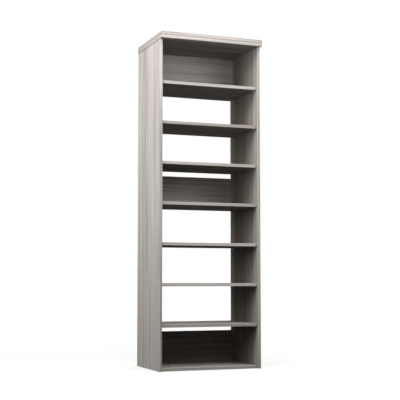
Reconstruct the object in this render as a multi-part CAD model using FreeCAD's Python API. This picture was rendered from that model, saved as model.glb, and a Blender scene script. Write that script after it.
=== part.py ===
import FreeCAD, Part
import os

# A tall closet shelf tower of melamine-faced board. Two side panels carry a doubled top, a bottom
# panel, one fixed shelf and loose shelves on pins. Three short back panels brace it, and the upper
# one hides a steel rail by which the tower hangs on the wall.
# Millimetres. X runs to the right, Y runs back to the wall and Z is up. The origin is on the floor,
# under the middle of the whole unit.

# Carcass
UNIT_WIDTH = 686.0
SIDE_DEPTH = 460.0
SIDE_THICK = 16.0
BOTTOM_THICK = 19.0
SHELF_THICK = 19.0
SHELF_SETBACK = 21.0
SHELF_COUNT = 7
SHELF_PLAY = 1.0
BOTTOM_BAY = 250.0
MIDDLE_BAY = 237.0
TOP_BAY = 261.0

# Top
TOP_UPPER_THICK = 19.0
TOP_LOWER_THICK = 22.0
TOP_FRONT_OVERHANG = 32.0
TOP_SIDE_OVERHANG = 3.0

# Edge bands: thin ones on the panels and shelves, thick ones on the top
BAND_THICK = 1.0
BAND_ROUNDING = 0.7
TOP_BAND_THICK = 2.0
TOP_BAND_ROUNDING = 1.5
ROUNDING_LIMIT = 0.8

# Back panels: each is as tall as its bay, less the gap that is left open
BACK_THICK = 16.0
UPPER_BACK_GAP = 56.0
MIDDLE_BACK_GAP = 32.0
LOWER_BACK_GAP = 45.0
HANGING_SPACE = 30.0
WALL_HOLE = 5.5
STUD_SPACING = 406.0

# Holes in the boards
BLIND_WALL = 5.0
FIT_PLAY = 0.1
END_PLAY = 0.5

# Cam joints and dowels
CAM_DIAMETER = 15.0
CAM_PAST_AXIS = 4.5
CAM_SETBACK = 34.0
CAM_RECESS = 0.3
CAM_MOUTH = 7.2
CAM_CROSS_LENGTH = 7.0
CAM_CROSS_WIDTH = 1.4
CAM_CROSS_DEPTH = 2.0
CAM_INSET = 60.0
BACK_CAM_INSET = 45.0
BOLT_THREAD = 5.0
BOLT_SHANK = 7.0
BOLT_BORE = 8.0
BOLT_NECK = 4.0
BOLT_HEAD = 6.4
BOLT_HEAD_LENGTH = 3.0
DOWEL_DIAMETER = 8.0
DOWEL_REACH = 19.0
DOWEL_INSET = 110.0
CAP_DIAMETER = 17.5
CAP_THICK = 1.4
CAP_CHAMFER = 0.6

# Shelf pins
PIN_DIAMETER = 5.0
PIN_FLANGE = 8.0
PIN_FLANGE_THICK = 1.2
PIN_TONGUE_LENGTH = 9.0
PIN_TONGUE_WIDTH = 7.0
PIN_TONGUE_THICK = 3.0
PIN_INSET = 37.0

# Screws of the top
CARCASS_SCREW = 5.0
CARCASS_SCREW_HEAD = 10.0
CARCASS_SCREW_REACH = 28.0
CARCASS_SCREW_INSET = 60.0
JOINING_SCREW = 4.0
JOINING_SCREW_HEAD = 8.0
JOINING_SCREW_INSET = 70.0
JOINING_SCREW_SPACING = 240.0
UPPER_BLIND_WALL = 6.0

# Wall rail and hangers
RAIL_THICK = 2.0
RAIL_DROP = 40.0
RAIL_LIP = 16.0
RAIL_PLATE = 40.0
RAIL_OFFSET = 8.0
RAIL_END_PLAY = 2.0
RAIL_BEND = 2.4
RAIL_SLOT_LENGTH = 24.0
RAIL_SLOT_WIDTH = 7.0
HANGER_THICK = 2.5
HANGER_DROP = 45.0
HANGER_WALL_PLAY = 3.0
HANGER_BACK_PLAY = 2.0
HOOK_THICK = 3.0
HOOK_LENGTH = 25.0
HOOK_FRONT = 6.0
HOOK_PLAY = 0.5
HOOK_KNEE_PLAY = 5.0
HANGER_SCREW = 5.0
HANGER_SCREW_HEAD = 9.0
HANGER_SCREW_HEAD_HEIGHT = 2.5
HANGER_SCREW_INSET = 8.0

# Places that follow from the sizes above
HALF_WIDTH = UNIT_WIDTH / 2
INNER_HALF = HALF_WIDTH - SIDE_THICK
REAR = (SIDE_DEPTH + TOP_FRONT_OVERHANG) / 2
SIDE_FRONT = REAR - SIDE_DEPTH
TOP_FRONT = SIDE_FRONT - TOP_FRONT_OVERHANG
SHELF_FRONT = SIDE_FRONT + SHELF_SETBACK
SHELF_STEP = SHELF_THICK + MIDDLE_BAY
FIXED_SHELF = (SHELF_COUNT + 1) // 2
SIDE_HOLE_DEPTH = SIDE_THICK - BLIND_WALL
SAME_PLACE = 0.01
LEFT = -1
RIGHT = 1
X_AXIS = FreeCAD.Vector(1, 0, 0)
Y_AXIS = FreeCAD.Vector(0, 1, 0)
Z_AXIS = FreeCAD.Vector(0, 0, 1)


def shelf_underside(number):
    """Height of a shelf's lower face. Shelf 1 is the highest."""
    return BOTTOM_THICK + BOTTOM_BAY + (SHELF_COUNT - number) * SHELF_STEP


SIDE_HEIGHT = shelf_underside(1) + SHELF_THICK + TOP_BAY
TOP_SEAM = SIDE_HEIGHT + TOP_LOWER_THICK
TOP_HEIGHT = TOP_SEAM + TOP_UPPER_THICK
FIXED_SHELF_TOP = shelf_underside(FIXED_SHELF) + SHELF_THICK

pieces = {}
side_holes = {LEFT: [], RIGHT: []}
cam_housings = []
cam_bolts = []
dowels = []


def block(x_range, y_range, z_range):
    """A box between two heights, two depths and two widths."""
    corner = FreeCAD.Vector(x_range[0], y_range[0], z_range[0])
    return Part.makeBox(
        x_range[1] - x_range[0], y_range[1] - y_range[0], z_range[1] - z_range[0], corner)


def rod(diameter, length, start, direction):
    """A round bar from a point along a direction."""
    return Part.makeCylinder(diameter / 2, length, start, direction)


def countersunk(shank, head, length, start, direction):
    """A screw whose conical head starts at its flat face and runs into the shank."""
    head_height = (head - shank) / 2
    cone = Part.makeCone(head / 2, shank / 2, head_height, start, direction)
    return cone.fuse(rod(shank, length, start, direction)).removeSplitter()


def prism(profile, path):
    """A closed outline of points, carried along a straight path."""
    wire = Part.makePolygon(profile + profile[:1])
    return Part.Face(wire).extrude(path)


def face_edges(shape, outward):
    """The edges of a block's face that looks along outward."""
    reach = max(vertex.Point.dot(outward) for vertex in shape.Vertexes)
    return [
        edge for edge in shape.Edges
        if all(reach - vertex.Point.dot(outward) < SAME_PLACE for vertex in edge.Vertexes)]


def edge_band(strip, outward):
    """A strip of edge band with the edges of its outer face rounded."""
    return strip.makeFillet(min(BAND_ROUNDING, ROUNDING_LIMIT * BAND_THICK), face_edges(strip, outward))


def top_band(strip, edges):
    """A strip of the top's thicker edge band with the given edges rounded."""
    return strip.makeFillet(min(TOP_BAND_ROUNDING, ROUNDING_LIMIT * TOP_BAND_THICK), edges)


def cam_joint(side, depth_place, height, cam_face, thick):
    """One cam joint between a side panel and the end of a board.

    The bolt stands in the side panel and its head sits in the cam, which is let into the
    board's face that looks along cam_face. Gives the holes that the board needs.
    """
    inward = X_AXIS * -side
    board_end = FreeCAD.Vector(side * INNER_HALF, depth_place, height)
    centre = board_end + inward * CAM_SETBACK
    cam_start = centre + cam_face * (thick / 2)
    cam_depth = thick / 2 + CAM_PAST_AXIS
    side_holes[side].append(rod(BOLT_THREAD + FIT_PLAY, SIDE_HOLE_DEPTH, board_end, -inward))

    thread = rod(BOLT_THREAD, SIDE_HOLE_DEPTH - END_PLAY, board_end, -inward)
    shank = rod(BOLT_SHANK, CAM_SETBACK - CAM_DIAMETER / 2, board_end, inward)
    neck = rod(BOLT_NECK, CAM_SETBACK, board_end, inward)
    head_start = centre - inward * (BOLT_HEAD_LENGTH / 2)
    head = rod(BOLT_HEAD, BOLT_HEAD_LENGTH, head_start, inward)
    cam_bolts.append(thread.multiFuse([shank, neck, head]).removeSplitter())

    housing_start = cam_start - cam_face * CAM_RECESS
    housing_depth = cam_depth - CAM_RECESS - FIT_PLAY
    housing = rod(CAM_DIAMETER - FIT_PLAY, housing_depth, housing_start, -cam_face)
    mouth = rod(CAM_MOUTH, CAM_DIAMETER, centre + inward * BOLT_HEAD_LENGTH, -inward)
    across = cam_face.cross(inward)
    cross = [
        cross_slot(housing_start, inward, across, cam_face),
        cross_slot(housing_start, across, inward, cam_face)]
    cam_housings.append(housing.cut([mouth] + cross))
    bolt_bore = rod(BOLT_BORE, CAM_SETBACK, board_end, inward)
    cam_hole = rod(CAM_DIAMETER, cam_depth, cam_start, -cam_face)
    return [bolt_bore, cam_hole]


def cross_slot(middle, along, across, outward):
    """One slot of the driver cross in a cam's face."""
    reach = along * (CAM_CROSS_LENGTH / 2)
    half_width = across * (CAM_CROSS_WIDTH / 2)
    outline = [
        middle - reach - half_width, middle + reach - half_width,
        middle + reach + half_width, middle - reach + half_width]
    return prism(outline, outward * -CAM_CROSS_DEPTH)


def dowel_joint(side, depth_place, height):
    """One dowel between a side panel and the end of a board. Gives the board's hole."""
    inward = X_AXIS * -side
    board_end = FreeCAD.Vector(side * INNER_HALF, depth_place, height)
    side_holes[side].append(rod(DOWEL_DIAMETER + FIT_PLAY, SIDE_HOLE_DEPTH, board_end, -inward))
    start = board_end - inward * (SIDE_HOLE_DEPTH - END_PLAY)
    dowels.append(rod(DOWEL_DIAMETER, SIDE_HOLE_DEPTH - END_PLAY + DOWEL_REACH, start, inward))
    return rod(DOWEL_DIAMETER + FIT_PLAY, DOWEL_REACH + END_PLAY, board_end, inward)


def fixed_board_holes(z_range, cam_places, dowel_places):
    """Cam joints and dowels at both ends of a level board, with the cams underneath."""
    thick = z_range[1] - z_range[0]
    height = sum(z_range) / 2
    holes = []
    for side in (LEFT, RIGHT):
        for place in cam_places:
            holes += cam_joint(side, place, height, -Z_AXIS, thick)
        for place in dowel_places:
            holes.append(dowel_joint(side, place, height))
    return holes


def back_panel_holes(y_range, z_range):
    """Cam joints and one dowel at both ends of a back panel, with the cams at its rear."""
    thick = y_range[1] - y_range[0]
    depth_place = sum(y_range) / 2
    holes = []
    for side in (LEFT, RIGHT):
        for height in (z_range[0] + BACK_CAM_INSET, z_range[1] - BACK_CAM_INSET):
            holes += cam_joint(side, depth_place, height, Y_AXIS, thick)
        holes.append(dowel_joint(side, depth_place, sum(z_range) / 2))
    return holes


def wall_holes(z_range):
    """Two holes through a back panel, one to each wall stud."""
    starts = [
        FreeCAD.Vector(side * STUD_SPACING / 2, REAR - BACK_THICK, sum(z_range) / 2)
        for side in (LEFT, RIGHT)]
    return [rod(WALL_HOLE, BACK_THICK, start, Y_AXIS) for start in starts]


def level_board(name, half_length, z_range, holes):
    """A shelf or the bottom panel: a board from the shelf line to the wall, and its front band."""
    x_range = (-half_length, half_length)
    core_front = SHELF_FRONT + BAND_THICK
    core = block(x_range, (core_front, REAR), z_range)
    pieces[name] = core.cut(holes) if holes else core
    strip = block(x_range, (SHELF_FRONT, core_front), z_range)
    pieces[name + "_front_band"] = edge_band(strip, -Y_AXIS)


# Bottom panel and shelves
level_cam_places = (SHELF_FRONT + CAM_INSET, REAR - CAM_INSET)
level_dowel_places = (SHELF_FRONT + DOWEL_INSET, REAR - DOWEL_INSET)
bottom_heights = (0.0, BOTTOM_THICK)
level_board(
    "bottom_panel", INNER_HALF, bottom_heights,
    fixed_board_holes(bottom_heights, level_cam_places, level_dowel_places))

for number in range(1, SHELF_COUNT + 1):
    heights = (shelf_underside(number), shelf_underside(number) + SHELF_THICK)
    if number == FIXED_SHELF:
        level_board(
            "shelf_%d" % number, INNER_HALF, heights,
            fixed_board_holes(heights, level_cam_places, level_dowel_places))
    else:
        level_board("shelf_%d" % number, INNER_HALF - SHELF_PLAY, heights, [])

# Cover caps over the cams under the fixed shelf
cover_caps = []
for side in (LEFT, RIGHT):
    for place in level_cam_places:
        cap_top = FreeCAD.Vector(side * (INNER_HALF - CAM_SETBACK), place, shelf_underside(FIXED_SHELF))
        disc = rod(CAP_DIAMETER, CAP_THICK, cap_top, -Z_AXIS)
        rim = [edge for edge in disc.Edges if edge.BoundBox.ZMax < cap_top.z - CAP_THICK / 2]
        cover_caps.append(disc.makeChamfer(CAP_CHAMFER, rim))
pieces["cam_cover_caps"] = Part.makeCompound(cover_caps)

# Back panels
flush_depths = (REAR - BACK_THICK, REAR)
upper_depths = (REAR - HANGING_SPACE - BACK_THICK, REAR - HANGING_SPACE)
inner_width = (-INNER_HALF, INNER_HALF)
middle_top = FIXED_SHELF_TOP + MIDDLE_BAY - MIDDLE_BACK_GAP
lower_top = BOTTOM_THICK + BOTTOM_BAY - LOWER_BACK_GAP
upper_bottom = SIDE_HEIGHT - TOP_BAY + UPPER_BACK_GAP

middle_heights = (FIXED_SHELF_TOP, middle_top - BAND_THICK)
middle_holes = back_panel_holes(flush_depths, (FIXED_SHELF_TOP, middle_top)) + wall_holes(middle_heights)
pieces["middle_back_panel"] = block(inner_width, flush_depths, middle_heights).cut(middle_holes)
pieces["middle_back_upper_band"] = edge_band(
    block(inner_width, flush_depths, (middle_top - BAND_THICK, middle_top)), Z_AXIS)

lower_heights = (BOTTOM_THICK, lower_top - BAND_THICK)
lower_holes = back_panel_holes(flush_depths, (BOTTOM_THICK, lower_top)) + wall_holes(lower_heights)
pieces["lower_back_panel"] = block(inner_width, flush_depths, lower_heights).cut(lower_holes)
pieces["lower_back_upper_band"] = edge_band(
    block(inner_width, flush_depths, (lower_top - BAND_THICK, lower_top)), Z_AXIS)

upper_heights = (upper_bottom + BAND_THICK, SIDE_HEIGHT)
upper_holes = back_panel_holes(upper_depths, (upper_bottom, SIDE_HEIGHT))
pieces["upper_back_panel"] = block(inner_width, upper_depths, upper_heights).cut(upper_holes)
pieces["upper_back_lower_band"] = edge_band(
    block(inner_width, upper_depths, (upper_bottom, upper_bottom + BAND_THICK)), -Z_AXIS)

# Shelf pins: a round shank in the side panel, a flange against it and a flat tongue under the shelf
shelf_pins = []


def shelf_pin(side, depth_place, seat):
    """One pin, with its tongue's upper face at the height of the seat."""
    inward = X_AXIS * -side
    start = FreeCAD.Vector(side * INNER_HALF, depth_place, seat - PIN_DIAMETER / 2)
    side_holes[side].append(rod(PIN_DIAMETER + FIT_PLAY, SIDE_HOLE_DEPTH, start, -inward))
    shank = rod(PIN_DIAMETER, SIDE_HOLE_DEPTH - END_PLAY, start, -inward)
    flange = rod(PIN_FLANGE, PIN_FLANGE_THICK, start, inward)
    half_width = PIN_TONGUE_WIDTH / 2
    tip = start.x - side * (PIN_TONGUE_LENGTH - half_width)
    tongue_depths = (depth_place - half_width, depth_place + half_width)
    tongue = block(sorted((start.x, tip)), tongue_depths, (seat - PIN_TONGUE_THICK, seat))
    tip_base = FreeCAD.Vector(tip, depth_place, seat - PIN_TONGUE_THICK)
    rounded_tip = rod(PIN_TONGUE_WIDTH, PIN_TONGUE_THICK, tip_base, Z_AXIS)
    flange_depths = (depth_place - PIN_FLANGE, depth_place + PIN_FLANGE)
    above_seat = block(sorted((start.x, tip)), flange_depths, (seat, seat + PIN_FLANGE))
    body = flange.multiFuse([tongue, rounded_tip]).cut(above_seat).fuse(shank)
    return body.removeSplitter()


for number in range(1, SHELF_COUNT + 1):
    if number == FIXED_SHELF:
        continue
    for side in (LEFT, RIGHT):
        for place in (SHELF_FRONT + PIN_INSET, REAR - PIN_INSET):
            shelf_pins.append(shelf_pin(side, place, shelf_underside(number)))
pieces["shelf_pins"] = Part.makeCompound(shelf_pins)

# Screws and dowels that hold the lower top board on the side panels
top_half = HALF_WIDTH + TOP_SIDE_OVERHANG
top_core_half = top_half - TOP_BAND_THICK
top_core_depths = (TOP_FRONT + TOP_BAND_THICK, REAR)
side_middle = HALF_WIDTH - SIDE_THICK / 2
carcass_screws = []
lower_top_holes = []
for side in (LEFT, RIGHT):
    for place in (SIDE_FRONT + CARCASS_SCREW_INSET, REAR - CARCASS_SCREW_INSET):
        head_place = FreeCAD.Vector(side * side_middle, place, TOP_SEAM)
        screw_length = TOP_LOWER_THICK + CARCASS_SCREW_REACH
        carcass_screws.append(
            countersunk(CARCASS_SCREW, CARCASS_SCREW_HEAD, screw_length, head_place, -Z_AXIS))
        hole = countersunk(
            CARCASS_SCREW + FIT_PLAY, CARCASS_SCREW_HEAD + FIT_PLAY, screw_length + END_PLAY,
            head_place, -Z_AXIS)
        lower_top_holes.append(hole)
        side_holes[side].append(hole)
    dowel_base = FreeCAD.Vector(side * side_middle, (SIDE_FRONT + REAR) / 2, SIDE_HEIGHT - DOWEL_REACH)
    dowel_length = DOWEL_REACH + TOP_LOWER_THICK - BLIND_WALL - END_PLAY
    dowels.append(rod(DOWEL_DIAMETER, dowel_length, dowel_base, Z_AXIS))
    hole_base = dowel_base - Z_AXIS * END_PLAY
    dowel_hole = rod(DOWEL_DIAMETER + FIT_PLAY, dowel_length + 2 * END_PLAY, hole_base, Z_AXIS)
    lower_top_holes.append(dowel_hole)
    side_holes[side].append(dowel_hole)
pieces["carcass_screws"] = Part.makeCompound(carcass_screws)

# Screws that draw the upper top board down on the lower one, from underneath
joining_screws = []
upper_top_holes = []
for column in (-1, 0, 1):
    for place in (TOP_FRONT + JOINING_SCREW_INSET, REAR - JOINING_SCREW_INSET):
        head_place = FreeCAD.Vector(column * JOINING_SCREW_SPACING, place, SIDE_HEIGHT)
        screw_length = TOP_LOWER_THICK + TOP_UPPER_THICK - UPPER_BLIND_WALL
        joining_screws.append(
            countersunk(JOINING_SCREW, JOINING_SCREW_HEAD, screw_length, head_place, Z_AXIS))
        hole = countersunk(
            JOINING_SCREW + FIT_PLAY, JOINING_SCREW_HEAD + FIT_PLAY, screw_length + END_PLAY,
            head_place, Z_AXIS)
        lower_top_holes.append(hole)
        upper_top_holes.append(hole)
pieces["top_joining_screws"] = Part.makeCompound(joining_screws)


def top_board(name, z_range, holes):
    """One of the two boards of the top, with edge bands at its left, right and front.

    The front band covers the ends of the other two, so they are rounded along their length
    only, and the front band is rounded everywhere but on its glued face.
    """
    core = block((-top_core_half, top_core_half), top_core_depths, z_range)
    pieces[name + "_board"] = core.cut(holes)
    for side, word in ((LEFT, "left"), (RIGHT, "right")):
        strip = block(sorted((side * top_core_half, side * top_half)), top_core_depths, z_range)
        long_edges = [edge for edge in face_edges(strip, X_AXIS * side) if edge.BoundBox.ZLength < SAME_PLACE]
        pieces["%s_%s_band" % (name, word)] = top_band(strip, long_edges)
    strip = block((-top_half, top_half), (TOP_FRONT, top_core_depths[0]), z_range)
    free_edges = [edge for edge in strip.Edges if edge.BoundBox.YMin < top_core_depths[0] - SAME_PLACE]
    pieces[name + "_front_band"] = top_band(strip, free_edges)


top_board("top_lower", (SIDE_HEIGHT, TOP_SEAM), lower_top_holes)
top_board("top_upper", (TOP_SEAM, TOP_HEIGHT), upper_top_holes)

# Wall rail: a steel strip whose upper edge steps away from the wall to make a lip
lip_top = SIDE_HEIGHT - RAIL_DROP
rail_knee = lip_top - RAIL_LIP
rail_base = rail_knee - RAIL_PLATE
rail_half = INNER_HALF - HANGER_THICK - RAIL_END_PLAY
lip_front = RAIL_OFFSET + RAIL_THICK
rail_outline = [
    (0, rail_base), (RAIL_THICK, rail_base), (RAIL_THICK, rail_knee - RAIL_THICK),
    (lip_front, rail_knee - RAIL_THICK), (lip_front, lip_top), (RAIL_OFFSET, lip_top),
    (RAIL_OFFSET, rail_knee), (0, rail_knee)]
rail_profile = [FreeCAD.Vector(-rail_half, REAR - out, height) for out, height in rail_outline]
rail = prism(rail_profile, X_AXIS * (2 * rail_half))


def outer_bend(edge):
    """True for the two long edges on the outside of the rail's bends."""
    bends = ((lip_front, rail_knee - RAIL_THICK), (0, rail_knee))
    middle = edge.CenterOfMass
    return any(
        middle.distanceToPoint(FreeCAD.Vector(0, REAR - out, height)) < SAME_PLACE
        for out, height in bends)


rail = rail.makeFillet(RAIL_BEND, [edge for edge in rail.Edges if outer_bend(edge)])
slot_height = rail_base + RAIL_PLATE / 2
slot_straight = RAIL_SLOT_LENGTH - RAIL_SLOT_WIDTH
rail_slots = []
for side in (LEFT, RIGHT):
    slot_middle = side * STUD_SPACING / 2
    slot_ends = (slot_middle - slot_straight / 2, slot_middle + slot_straight / 2)
    half_width = RAIL_SLOT_WIDTH / 2
    rail_slots.append(
        block(slot_ends, (REAR - RAIL_THICK, REAR), (slot_height - half_width, slot_height + half_width)))
    for end in slot_ends:
        start = FreeCAD.Vector(end, REAR - RAIL_THICK, slot_height)
        rail_slots.append(rod(RAIL_SLOT_WIDTH, RAIL_THICK, start, Y_AXIS))
pieces["wall_rail"] = rail.cut(rail_slots)

# Hangers: a plate on each side panel with a hook that drops behind the rail's lip
hanger_screws = []
hanger_front = HANGING_SPACE - HANGER_BACK_PLAY
screw_out = hanger_front - HANGER_SCREW_INSET
screw_heights = (lip_top - HANGER_SCREW_INSET, lip_top - HANGER_DROP + HANGER_SCREW_INSET)
tongue_front = RAIL_OFFSET - HOOK_PLAY
tongue_back = tongue_front - HOOK_THICK
hook_outline = [
    (tongue_back, lip_top + HOOK_THICK), (tongue_back, lip_top - RAIL_LIP + HOOK_KNEE_PLAY),
    (tongue_front, lip_top - RAIL_LIP + HOOK_KNEE_PLAY), (tongue_front, lip_top),
    (lip_front + HOOK_FRONT, lip_top), (lip_front + HOOK_FRONT, lip_top + HOOK_THICK)]
for side, word in ((LEFT, "left"), (RIGHT, "right")):
    inward = X_AXIS * -side
    plate_back = side * INNER_HALF
    plate_face = plate_back - side * HANGER_THICK
    plate = block(
        sorted((plate_back, plate_face)), (REAR - hanger_front, REAR - HANGER_WALL_PLAY),
        (lip_top - HANGER_DROP, lip_top + HOOK_THICK))
    hook_profile = [FreeCAD.Vector(plate_back, REAR - out, height) for out, height in hook_outline]
    hook = prism(hook_profile, inward * (HANGER_THICK + HOOK_LENGTH))
    screw_holes = []
    for height in screw_heights:
        on_face = FreeCAD.Vector(plate_face, REAR - screw_out, height)
        shank = rod(HANGER_SCREW, HANGER_THICK + SIDE_HOLE_DEPTH - END_PLAY, on_face, -inward)
        head = rod(HANGER_SCREW_HEAD, HANGER_SCREW_HEAD_HEIGHT, on_face, inward)
        hanger_screws.append(shank.fuse(head).removeSplitter())
        hole = rod(HANGER_SCREW + FIT_PLAY, HANGER_THICK + SIDE_HOLE_DEPTH, on_face, -inward)
        screw_holes.append(hole)
        side_holes[side].append(hole)
    pieces[word + "_hanger"] = plate.fuse(hook).removeSplitter().cut(screw_holes)
pieces["hanger_screws"] = Part.makeCompound(hanger_screws)

# Side panels, drilled for everything that stands in them
for side, word in ((LEFT, "left"), (RIGHT, "right")):
    x_range = sorted((side * INNER_HALF, side * HALF_WIDTH))
    core_depths = (SIDE_FRONT + BAND_THICK, REAR)
    core = block(x_range, core_depths, (0.0, SIDE_HEIGHT))
    pieces[word + "_side_panel"] = core.cut(side_holes[side])
    strip = block(x_range, (SIDE_FRONT, core_depths[0]), (0.0, SIDE_HEIGHT))
    pieces[word + "_side_front_band"] = edge_band(strip, -Y_AXIS)

pieces["cam_housings"] = Part.makeCompound(cam_housings)
pieces["cam_bolts"] = Part.makeCompound(cam_bolts)
pieces["dowels"] = Part.makeCompound(dowels)

os.makedirs("parts", exist_ok=True)
for name, shape in pieces.items():
    shape.exportStep("parts/%s.step" % name)
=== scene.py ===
import math

import bpy
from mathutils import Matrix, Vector

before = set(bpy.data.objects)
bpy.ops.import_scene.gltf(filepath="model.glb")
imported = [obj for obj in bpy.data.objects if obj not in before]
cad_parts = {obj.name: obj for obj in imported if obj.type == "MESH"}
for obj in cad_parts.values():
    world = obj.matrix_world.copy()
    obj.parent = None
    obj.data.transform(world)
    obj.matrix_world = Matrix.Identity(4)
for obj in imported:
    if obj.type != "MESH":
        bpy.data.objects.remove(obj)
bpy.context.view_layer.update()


# Camera: a long lens a little over half a metre above the floor, in front of the unit and to its left.
# It looks slightly upwards at the middle of the unit, and a small lens shift finishes the framing.
AIM_POINT = Vector((0.0058, -0.0021, 1.0611))
CAMERA_DISTANCE = 6.4085
CAMERA_AZIMUTH = math.radians(21.027)
CAMERA_PITCH = math.radians(4.419)
LENS_MM = 87.968
SENSOR_MM = 36.0
LENS_SHIFT_UP = 0.01

view_direction = Vector((
    math.sin(CAMERA_AZIMUTH) * math.cos(CAMERA_PITCH),
    math.cos(CAMERA_AZIMUTH) * math.cos(CAMERA_PITCH),
    math.sin(CAMERA_PITCH),
))
camera_data = bpy.data.cameras.new("photo_camera")
camera_data.lens = LENS_MM
camera_data.sensor_width = SENSOR_MM
camera_data.shift_y = LENS_SHIFT_UP
camera = bpy.data.objects.new("photo_camera", camera_data)
camera.location = AIM_POINT - view_direction * CAMERA_DISTANCE
camera.rotation_euler = view_direction.to_track_quat("-Z", "Y").to_euler()
bpy.context.scene.collection.objects.link(camera)
bpy.context.scene.camera = camera
bpy.context.scene.view_settings.view_transform = "Standard"


# Studio surround: a white room that is seen as white, but that lights the unit only faintly and a little
# warmly from every side, so that the bays stay as dark as they are under a few soft lamps.
ROOM_WHITE = (1.0, 1.0, 1.0, 1.0)
ROOM_FILL = (0.134, 0.124, 0.113, 1.0)


def put(tree, kind, inputs=None, **settings):
    """Adds a shader node. Inputs are values or other nodes' outputs, and settings are its own fields."""
    made = tree.nodes.new(kind)
    for name, value in settings.items():
        setattr(made, name, value)
    for key, value in (inputs or {}).items():
        if isinstance(value, bpy.types.NodeSocket):
            tree.links.new(value, made.inputs[key])
        else:
            made.inputs[key].default_value = value
    return made


def calc(tree, operation, a, b=0.0, c=0.0):
    """The output of one Math node."""
    return put(tree, "ShaderNodeMath", {0: a, 1: b, 2: c}, operation=operation).outputs[0]


def pick_colour(tree, share, first, second):
    """A colour that goes from the first to the second as the share goes from 0 to 1."""
    return put(tree, "ShaderNodeMix", {0: share, 6: first, 7: second}, data_type="RGBA").outputs[2]


def seen_directly(tree):
    """1 for rays from the camera, a mirror or a clear surface, and 0 for the rays that carry soft light."""
    path = put(tree, "ShaderNodeLightPath").outputs
    camera_or_mirror = calc(tree, "MAXIMUM", path["Is Camera Ray"], path["Is Glossy Ray"])
    return calc(tree, "MAXIMUM", camera_or_mirror, path["Is Transmission Ray"])


room = bpy.data.worlds.new("white_room")
room.use_nodes = True
tree = room.node_tree
tree.nodes.clear()
room_light = pick_colour(tree, seen_directly(tree), ROOM_FILL, ROOM_WHITE)
room_shader = put(tree, "ShaderNodeBackground", {"Color": room_light, "Strength": 1.0})
put(tree, "ShaderNodeOutputWorld", {"Surface": room_shader.outputs[0]})
bpy.context.scene.world = room


# Floor: a pale matt sheet that the unit stands on. It keeps a faint soft shadow near the unit and
# fades into the white of the room further out.
FLOOR_HALF_WIDTH = 30.0
FLOOR_SHADE_FROM, FLOOR_SHADE_TO = 0.5, 2.2
FLOOR_SHADE = 0.30
FLOOR_BOUNCE = (0.04, 0.04, 0.04, 1.0)

floor_mesh = bpy.data.meshes.new("floor")
corner_signs = ((-1, -1), (1, -1), (1, 1), (-1, 1))
floor_corners = [(FLOOR_HALF_WIDTH * x, FLOOR_HALF_WIDTH * y, 0.0) for x, y in corner_signs]
floor_mesh.from_pydata(floor_corners, [], [(0, 1, 2, 3)])
floor = bpy.data.objects.new("floor", floor_mesh)
bpy.context.scene.collection.objects.link(floor)
floor_paint = bpy.data.materials.new("pale_floor")
floor_paint.use_nodes = True
tree = floor_paint.node_tree
tree.nodes.clear()
spot = put(tree, "ShaderNodeTexCoord").outputs["Object"]
away = put(tree, "ShaderNodeVectorMath", {0: spot}, operation="LENGTH").outputs["Value"]
shade = put(tree, "ShaderNodeMapRange", {
    "Value": away, "From Min": FLOOR_SHADE_FROM, "From Max": FLOOR_SHADE_TO,
    "To Min": FLOOR_SHADE, "To Max": 0.0}, interpolation_type="SMOOTHSTEP").outputs["Result"]
glow = put(tree, "ShaderNodeEmission", {"Color": ROOM_WHITE, "Strength": 1.0})
matt = put(tree, "ShaderNodeBsdfDiffuse", {"Color": ROOM_WHITE})
seen_floor = put(tree, "ShaderNodeMixShader", {"Fac": shade, 1: glow.outputs[0], 2: matt.outputs[0]})
bounce = put(tree, "ShaderNodeBsdfDiffuse", {"Color": FLOOR_BOUNCE})
floor_shader = put(tree, "ShaderNodeMixShader", {
    "Fac": seen_directly(tree), 1: bounce.outputs[0], 2: seen_floor.outputs[0]})
put(tree, "ShaderNodeOutputMaterial", {"Surface": floor_shader.outputs[0]})
floor_mesh.materials.append(floor_paint)


# Lamps: seven square soft boxes. Two stand on the left, two in front and one high between them, so that the
# light falls off downwards, and the last two show the right side and the back. No lamp's light is passed
# on from board to board, so that the undersides of the shelves stay dark.
LAMP_TARGET = Vector((0.0, 0.0, 1.1))
LAMP_BOUNCES = 0


def soft_box(name, turn, away, height, edge, power):
    """A square area lamp that looks at the middle of the unit. It stands so many degrees to the right of
    straight in front, so far from the middle and so high; lengths are in metres and power in watts."""
    lamp_data = bpy.data.lights.new(name, "AREA")
    lamp_data.shape = "SQUARE"
    lamp_data.size = edge
    lamp_data.energy = power
    lamp_data.cycles.max_bounces = LAMP_BOUNCES
    lamp = bpy.data.objects.new(name, lamp_data)
    lamp.location = (away * math.sin(math.radians(turn)), -away * math.cos(math.radians(turn)), height)
    lamp.rotation_euler = (LAMP_TARGET - lamp.location).to_track_quat("-Z", "Y").to_euler()
    lamp.visible_camera = False
    bpy.context.scene.collection.objects.link(lamp)


soft_box("left_lamp", turn=-80.0, away=2.4, height=1.8, edge=1.4, power=26.7)
soft_box("low_left_lamp", turn=-90.0, away=3.2, height=1.3, edge=1.4, power=27.7)
soft_box("high_lamp", turn=-40.0, away=1.2, height=3.0, edge=1.4, power=38.6)
soft_box("front_lamp", turn=-20.0, away=1.8, height=1.8, edge=1.4, power=9.8)
soft_box("front_right_lamp", turn=30.0, away=2.4, height=2.2, edge=1.4, power=28.0)
soft_box("right_lamp", turn=96.0, away=2.6, height=1.9, edge=1.4, power=42.0)
soft_box("rear_lamp", turn=150.0, away=3.4, height=2.7, edge=1.8, power=46.0)


# Side panels: two tall chipboards, 16 mm thick, faced on both sides with melamine paper that is printed
# as grey ash with its grain upright. A cut edge without a band shows the pressed chips of the core.
ASH_STOPS = [(0.22, (0.297, 0.266, 0.243, 1.0)), (0.50, (0.450, 0.418, 0.391, 1.0)),
             (0.78, (0.580, 0.553, 0.529, 1.0))]
MIDDLE_TONE = 0.5
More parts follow.
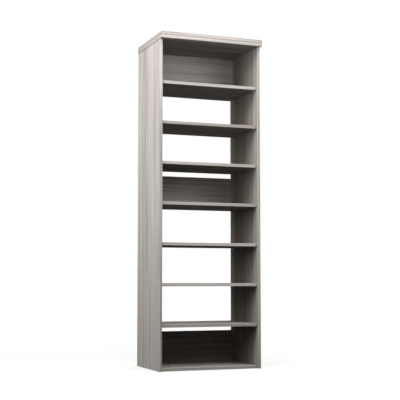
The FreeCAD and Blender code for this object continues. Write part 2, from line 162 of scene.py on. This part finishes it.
# Each layer of the print: the length and width of its streaks in metres, its detail and its share.
ASH_LAYERS = [(5.0, 0.085, 0.0, 0.36), (2.4, 0.026, 1.0, 0.40),
              (0.6, 0.0080, 1.0, 0.84), (0.22, 0.0017, 2.0, 0.22)]
SWAY_LENGTH, SWAY_WIDTH, SWAY_DETAIL, SWAY_REACH = 0.9, 0.30, 1.0, 0.03
PORE_LENGTH, PORE_WIDTH, PORE_DETAIL = 0.022, 0.0009, 0.0
PORE_FROM, PORE_FULL, PORE_DARKENING = 0.66, 0.74, 0.16
NOISE_ROUGHNESS = 0.55
BOARD_ROUGHNESS, BOARD_ROUGHNESS_SPREAD, CORE_ROUGHNESS = 0.70, 0.16, 0.95
BOARD_SPECULAR = 0.03
FIBRE_HEIGHT = 0.35
RELIEF_STRENGTH, RELIEF_DEPTH = 0.30, 0.0003
CHIP_STOPS = [(0.10, (0.150, 0.092, 0.052, 1.0)), (0.35, (0.330, 0.225, 0.135, 1.0)),
              (0.65, (0.430, 0.318, 0.205, 1.0)), (0.95, (0.610, 0.500, 0.360, 1.0))]
CHIPS_PER_METRE = (190.0, 190.0, 560.0)
CHIP_SHARE, CHIP_SHIFT = 0.75, -0.12
DUST_PER_METRE, DUST_DETAIL, DUST_SHARE = 1300.0, 3.0, 0.5
FLAT_ENOUGH = 0.9
GRAIN_UPRIGHT = (0.0, math.radians(90.0), 0.0)
# Where each panel was cut from the endless print: along its grain, across it and through the board.
LEFT_PRINT = (0.0, 10.902, 0.0)
RIGHT_PRINT = (0.0, 23.022, 0.0)
# The print is stronger on both side panels than on the other boards, and a touch warmer on the right one.
SIDE_CONTRAST = 1.25
RIGHT_STOPS = [(0.22, (0.306, 0.266, 0.237, 1.0)), (0.50, (0.460, 0.418, 0.383, 1.0)),
               (0.78, (0.588, 0.553, 0.521, 1.0))]


def new_finish(name):
    """An empty node material and its tree."""
    finish = bpy.data.materials.new(name)
    finish.use_nodes = True
    finish.node_tree.nodes.clear()
    return finish, finish.node_tree


def dress(nodes, finish):
    """Gives the named pieces of the frame one finish."""
    for name in nodes:
        for material_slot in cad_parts[name].material_slots:
            material_slot.material = finish


def tones(tree, value, stops):
    """A colour ramp: each stop is a place from 0 to 1 and the colour there."""
    ramp = put(tree, "ShaderNodeValToRGB", {"Fac": value})
    marks = ramp.color_ramp.elements
    while len(marks) < len(stops):
        marks.new(1.0)
    for mark, (place, colour) in zip(marks, stops):
        mark.position = place
        mark.color = colour
    return ramp.outputs["Color"]


def pick_value(tree, share, first, second):
    """A number that goes from the first to the second as the share goes from 0 to 1."""
    return put(tree, "ShaderNodeMix", {0: share, 2: first, 3: second}).outputs[0]


def times(tree, place, factors):
    """A place with each of its three parts multiplied."""
    return put(tree, "ShaderNodeVectorMath", {0: place, 1: factors}, operation="MULTIPLY").outputs["Vector"]


def noise(tree, place, scale, detail):
    """Soft noise from 0 to 1, with so many blots in a metre."""
    settings = {"Vector": place, "Scale": scale, "Detail": detail, "Roughness": NOISE_ROUGHNESS}
    return put(tree, "ShaderNodeTexNoise", settings).outputs["Fac"]


def streaks(tree, place, length, width, detail):
    """Noise drawn out along the grain, in blots so long and so wide, in metres."""
    return noise(tree, times(tree, place, (1.0 / length, 1.0 / width, 1.0 / width)), 1.0, detail)


def grain_place(tree, turn, shift):
    """Where a point lies in the print: X along the grain, Y across it and Z through the board."""
    spot = put(tree, "ShaderNodeTexCoord").outputs["Object"]
    mapping = put(tree, "ShaderNodeMapping", {"Vector": spot, "Rotation": turn, "Location": shift})
    return mapping.outputs["Vector"]


def flatness(tree):
    """How far each face looks along X, Y and Z, from 0 to 1."""
    facing = put(tree, "ShaderNodeNewGeometry").outputs["True Normal"]
    size = put(tree, "ShaderNodeVectorMath", {0: facing}, operation="ABSOLUTE").outputs["Vector"]
    return put(tree, "ShaderNodeSeparateXYZ", {"Vector": size}).outputs


def relief(tree, height, strength, depth):
    """The normal of a surface with a fine relief, its depth in metres."""
    bump = put(tree, "ShaderNodeBump", {"Height": height, "Strength": strength, "Distance": depth})
    return bump.outputs["Normal"]


def skin(tree, colour, roughness, normal, **constants):
    """Ends a material: a Principled surface. The constants are its other sockets, with _ for a space."""
    sockets = {name.replace("_", " "): value for name, value in constants.items()}
    sockets |= {"Base Color": colour, "Roughness": roughness, "Normal": normal}
    surface = put(tree, "ShaderNodeBsdfPrincipled", sockets)
    put(tree, "ShaderNodeOutputMaterial", {"Surface": surface.outputs["BSDF"]})


def ash_print(tree, place, tone, contrast, stops=ASH_STOPS):
    """Colour, roughness and height of the print. Its tone is a weighted sum of noises, from plank-wide
    bands through narrow strips and lines to hair-fine fibres, and short pores are pressed in and darker."""
    sway = streaks(tree, place, SWAY_LENGTH, SWAY_WIDTH, SWAY_DETAIL)
    sideways = calc(tree, "MULTIPLY_ADD", sway, SWAY_REACH, -SWAY_REACH / 2.0)
    offset = put(tree, "ShaderNodeCombineXYZ", {"Y": sideways}).outputs["Vector"]
    bent = put(tree, "ShaderNodeVectorMath", {0: place, 1: offset}, operation="ADD").outputs["Vector"]
    for length, width, detail, layer_share in ASH_LAYERS:
        share = layer_share * contrast
        fibre = streaks(tree, bent, length, width, detail)
        tone = calc(tree, "ADD", tone, calc(tree, "MULTIPLY_ADD", fibre, share, -share / 2.0))
    pore = put(tree, "ShaderNodeMapRange", {
        "Value": streaks(tree, bent, PORE_LENGTH, PORE_WIDTH, PORE_DETAIL),
        "From Min": PORE_FROM, "From Max": PORE_FULL}).outputs["Result"]
    colour = tones(tree, calc(tree, "MULTIPLY_ADD", pore, -PORE_DARKENING, tone), stops)
    roughness = calc(tree, "MULTIPLY_ADD", fibre, BOARD_ROUGHNESS_SPREAD, BOARD_ROUGHNESS)
    height = calc(tree, "SUBTRACT", calc(tree, "MULTIPLY", fibre, FIBRE_HEIGHT), pore)
    return colour, roughness, height


def pressed_chips(tree, place):
    """Colour and height of a sawn chipboard edge: flat cells of many tans, each chip 5 mm long and under
    2 mm thick, with finer dust between them."""
    cells = times(tree, place, CHIPS_PER_METRE)
    chip = put(tree, "ShaderNodeTexVoronoi", {"Vector": cells, "Scale": 1.0}).outputs
    pick = put(tree, "ShaderNodeSeparateColor", {"Color": chip["Color"]}).outputs["Red"]
    dust = noise(tree, place, DUST_PER_METRE, DUST_DETAIL)
    chip_tone = calc(tree, "MULTIPLY_ADD", pick, CHIP_SHARE, CHIP_SHIFT)
    mixed = calc(tree, "MULTIPLY_ADD", dust, DUST_SHARE, chip_tone)
    return tones(tree, mixed, CHIP_STOPS), chip["Distance"]


def faced_board(name, turn, thick_axis, shift, contrast=1.0, stops=ASH_STOPS):
    """Melamine-faced chipboard: the print on the two wide faces, and the core on every edge and bore."""
    finish, tree = new_finish(name)
    place = grain_place(tree, turn, shift)
    print_colour, print_roughness, print_height = ash_print(tree, place, MIDDLE_TONE, contrast, stops)
    core_colour, core_height = pressed_chips(tree, place)
    is_face = calc(tree, "GREATER_THAN", flatness(tree)[thick_axis], FLAT_ENOUGH)
    colour = pick_colour(tree, is_face, core_colour, print_colour)
    roughness = pick_value(tree, is_face, CORE_ROUGHNESS, print_roughness)
    height = pick_value(tree, is_face, core_height, print_height)
    normal = relief(tree, height, RELIEF_STRENGTH, RELIEF_DEPTH)
    skin(tree, colour, roughness, normal, Specular_IOR_Level=BOARD_SPECULAR)
    return finish


left_ash = faced_board("left_side_ash", GRAIN_UPRIGHT, "X", LEFT_PRINT, SIDE_CONTRAST)
right_ash = faced_board("right_side_ash", GRAIN_UPRIGHT, "X", RIGHT_PRINT, SIDE_CONTRAST, RIGHT_STOPS)
dress(["left_side_panel"], left_ash)
dress(["right_side_panel"], right_ash)


# Bottom panel and shelves: a bottom and seven shelves, 19 mm thick, of the same faced chipboard.
# Their grain runs from side to side. The middle shelf and the bottom are fixed, the others lie on pins.
GRAIN_LENGTHWISE = (0.0, 0.0, 0.0)
LEVEL_PRINT = (0.0, 0.0, 0.0)
SHELVES = [f"shelf_{number}" for number in range(1, 8)]

dress(["bottom_panel"] + SHELVES, faced_board("level_ash", GRAIN_LENGTHWISE, "Z", LEVEL_PRINT))


# Top: two stacked boards of the same faced chipboard, screwed together. They reach past the sides and
# the front, and the seam between them shows along the middle of the edge.
TOP_PRINTS = {"upper": (0.7, 0.2, 0.0), "lower": (0.1, 0.5, 0.3)}

for layer, top_print in TOP_PRINTS.items():
    dress([f"top_{layer}_board"], faced_board(f"top_{layer}_ash", GRAIN_LENGTHWISE, "Z", top_print))


# Back panels: three short boards, 16 mm thick, in the top bay, above the middle shelf and in the bottom
# bay. They keep the frame from leaning, and their grain runs from side to side as on the shelves.
GRAIN_ACROSS_BACK = (math.radians(90.0), 0.0, 0.0)
BACK_PRINT = (0.2, 0.0, 0.6)

back_ash = faced_board("back_ash", GRAIN_ACROSS_BACK, "Y", BACK_PRINT)
dress(["upper_back_panel", "middle_back_panel", "lower_back_panel"], back_ash)


# Edge bands: strips of printed plastic, 1 mm thick and 2 mm on the top, glued to the edges that show.
# The print runs along each strip and its tone varies from strip to strip. Where the corners are milled round,
# the plain plastic under the print comes out as a thin line. Its colour is painted light: it is pale on the
# thin bands, as a painted highlight along their corners. It is dark on the top's bands, as painted shade in
# the seam between the two boards and along their other milled corners.
BAND_SMOOTHER = 0.08
BAND_SPECULAR = 0.05
BAND_RELIEF_STRENGTH, BAND_RELIEF_DEPTH = 0.20, 0.0002
# Colours of the milled corners: pale as a painted highlight on the thin bands, dark as painted shade on the
# top's bands.
PALE_CORNER_HIGHLIGHT = (0.740, 0.715, 0.690, 1.0)
DARK_CORNER_SHADE = (0.262, 0.238, 0.220, 1.0)
UNMILLED = 0.985
GRAIN_FRONT_TO_BACK = (0.0, 0.0, math.radians(-90.0))
FRONT_TONES = {"bottom_panel": 0.50, "shelf_1": 0.62, "shelf_2": 0.50, "shelf_3": 0.64, "shelf_4": 0.51,
               "shelf_5": 0.86, "shelf_6": 0.72, "shelf_7": 0.40}
UPRIGHT_TONE = 0.50
UPRIGHT_BAND_PRINT = (0.3, 0.1, 0.2)
LEVEL_BAND_PRINT = (0.5, 0.3, 0.1)
TOP_FRONT_PRINTS = {"upper": (0.9, 0.6, 0.4), "lower": (2.3, 0.6, 0.4)}
TOP_END_PRINTS = {"upper": (0.9, 0.8, 0.5), "lower": (2.3, 0.8, 0.5)}


def band_strip(name, turn, shift, tone=MIDDLE_TONE, plastic=PALE_CORNER_HIGHLIGHT):
    """Satin plastic band: the print on its flat sides, and plain plastic in the given colour where a corner
    is milled; that colour is a pale painted highlight on the thin bands and dark painted shade on the top's
    bands.
    """
    finish, tree = new_finish(name)
    place = grain_place(tree, turn, shift)
    print_colour, print_roughness, height = ash_print(tree, place, tone, contrast=1.0)
    flat = flatness(tree)
    flattest = calc(tree, "MAXIMUM", calc(tree, "MAXIMUM", flat["X"], flat["Y"]), flat["Z"])
    # The milled corners take the plastic colour instead of the print: painted highlight on thin bands,
    # painted shade on the top's bands.
    colour = pick_colour(tree, calc(tree, "GREATER_THAN", flattest, UNMILLED), plastic, print_colour)
    roughness = calc(tree, "SUBTRACT", print_roughness, BAND_SMOOTHER)
    normal = relief(tree, height, BAND_RELIEF_STRENGTH, BAND_RELIEF_DEPTH)
    skin(tree, colour, roughness, normal, Specular_IOR_Level=BAND_SPECULAR)
    return finish


upright_bands = ["left_side_front_band", "right_side_front_band"]
back_bands = ["upper_back_lower_band", "middle_back_upper_band", "lower_back_upper_band"]
dress(upright_bands, band_strip("upright_band", GRAIN_UPRIGHT, UPRIGHT_BAND_PRINT, UPRIGHT_TONE))
dress(back_bands, band_strip("back_band", GRAIN_LENGTHWISE, LEVEL_BAND_PRINT))
for board, tone in FRONT_TONES.items():
    dress([f"{board}_front_band"], band_strip(f"{board}_band", GRAIN_LENGTHWISE, LEVEL_BAND_PRINT, tone))
for layer, front_print in TOP_FRONT_PRINTS.items():
    front = band_strip(f"top_{layer}_front_ash", GRAIN_LENGTHWISE, front_print, plastic=DARK_CORNER_SHADE)
    dress([f"top_{layer}_front_band"], front)
for layer, end_print in TOP_END_PRINTS.items():
    ends = band_strip(f"top_{layer}_end_ash", GRAIN_FRONT_TO_BACK, end_print, plastic=DARK_CORNER_SHADE)
    dress([f"top_{layer}_left_band", f"top_{layer}_right_band"], ends)


# Shelf pins: pressed steel spoons with bright nickel plating, four under each loose shelf.
# Each is pushed into a bore in the side panel, and the shelf lies on its tongue.
NICKEL = (0.66, 0.63, 0.58, 1.0)
PLATING_CLOUDS, CLOUD_DETAIL = 0.24, 3.0
PLATING_DARKEST = 0.82
DARK_CLOUD, PALE_CLOUD = 0.30, 0.70
PEEL_PER_METRE, PEEL_DETAIL = 1400.0, 1.0
PEEL_STRENGTH, PEEL_DEPTH = 0.08, 0.0001


def plated_metal(name, colour, roughness, cloud_size):
    """Plated metal with soft clouds of duller and darker plating, and a faint orange peel."""
    finish, tree = new_finish(name)
    spot = put(tree, "ShaderNodeTexCoord").outputs["Object"]
    cloud = noise(tree, spot, 1.0 / cloud_size, CLOUD_DETAIL)
    dullness = calc(tree, "MULTIPLY_ADD", cloud, PLATING_CLOUDS, roughness - PLATING_CLOUDS / 2.0)
    dark = tuple(PLATING_DARKEST * channel for channel in colour[:3]) + (1.0,)
    shade = tones(tree, cloud, [(DARK_CLOUD, dark), (PALE_CLOUD, colour)])
    peel = relief(tree, noise(tree, spot, PEEL_PER_METRE, PEEL_DETAIL), PEEL_STRENGTH, PEEL_DEPTH)
    skin(tree, shade, dullness, peel, Metallic=1.0)
    return finish


dress(["shelf_pins"], plated_metal("bright_nickel", NICKEL, roughness=0.26, cloud_size=0.004))


# Cam fittings: die-cast zinc drums with a cross slot, let into the fixed boards, and the plated steel
# bolts in the side panels that they pull tight.
CAST_ZINC = (0.47, 0.48, 0.49, 1.0)
BOLT_ZINC = (0.62, 0.63, 0.64, 1.0)

dress(["cam_housings"], plated_metal("cast_zinc", CAST_ZINC, roughness=0.46, cloud_size=0.003))
dress(["cam_bolts"], plated_metal("bolt_zinc", BOLT_ZINC, roughness=0.34, cloud_size=0.003))


# Dowels: turned beech pegs, 8 mm thick, glued into the ends of the fixed boards.
# They stand in bores of the side panels and keep each joint from sliding.
BEECH_STOPS = [(0.30, (0.46, 0.29, 0.16, 1.0)), (0.70, (0.66, 0.47, 0.29, 1.0))]
BEECH_ROUGHNESS = 0.75
FLECK_LENGTH, FLECK_WIDTH, FLECK_DETAIL = 0.012, 0.0012, 3.0
FLECK_STRENGTH, FLECK_DEPTH = 0.25, 0.0003

beech, tree = new_finish("beech_dowel")
peg_place = put(tree, "ShaderNodeTexCoord").outputs["Object"]
fleck = streaks(tree, peg_place, FLECK_LENGTH, FLECK_WIDTH, FLECK_DETAIL)
skin(tree, tones(tree, fleck, BEECH_STOPS), BEECH_ROUGHNESS, relief(tree, fleck, FLECK_STRENGTH, FLECK_DEPTH))
dress(["dowels"], beech)


# Cam covers: thin round caps of moulded grey plastic with a fine stipple.
# They are pushed into the cams under the middle shelf, where these would show.
CAP_STOPS = [(0.30, (0.40, 0.37, 0.34, 1.0)), (0.70, (0.46, 0.43, 0.40, 1.0))]
CAP_ROUGHNESS = 0.5
STIPPLE_PER_METRE, STIPPLE_DETAIL = 2400.0, 2.0
STIPPLE_STRENGTH, STIPPLE_DEPTH = 0.20, 0.0001

moulded, tree = new_finish("moulded_grey")
cap_place = put(tree, "ShaderNodeTexCoord").outputs["Object"]
stipple = noise(tree, cap_place, STIPPLE_PER_METRE, STIPPLE_DETAIL)
stippled = relief(tree, stipple, STIPPLE_STRENGTH, STIPPLE_DEPTH)
skin(tree, tones(tree, stipple, CAP_STOPS), CAP_ROUGHNESS, stippled)
dress(["cam_cover_caps"], moulded)


# Screws, wall rail and hangers: zinc-plated steel. The rail is screwed to the wall, and two hanger plates,
# screwed to the side panels behind the upper back panel, hook behind its lip and keep the unit upright.
ZINC_PLATE = (0.60, 0.61, 0.61, 1.0)
DULL_ZINC = (0.36, 0.37, 0.37, 1.0)
screws = ["carcass_screws", "top_joining_screws", "hanger_screws"]
rail_and_hangers = ["wall_rail", "left_hanger", "right_hanger"]

dress(screws, plated_metal("screw_zinc", ZINC_PLATE, roughness=0.36, cloud_size=0.002))
dress(rail_and_hangers, plated_metal("sheet_zinc", DULL_ZINC, roughness=0.66, cloud_size=0.03))
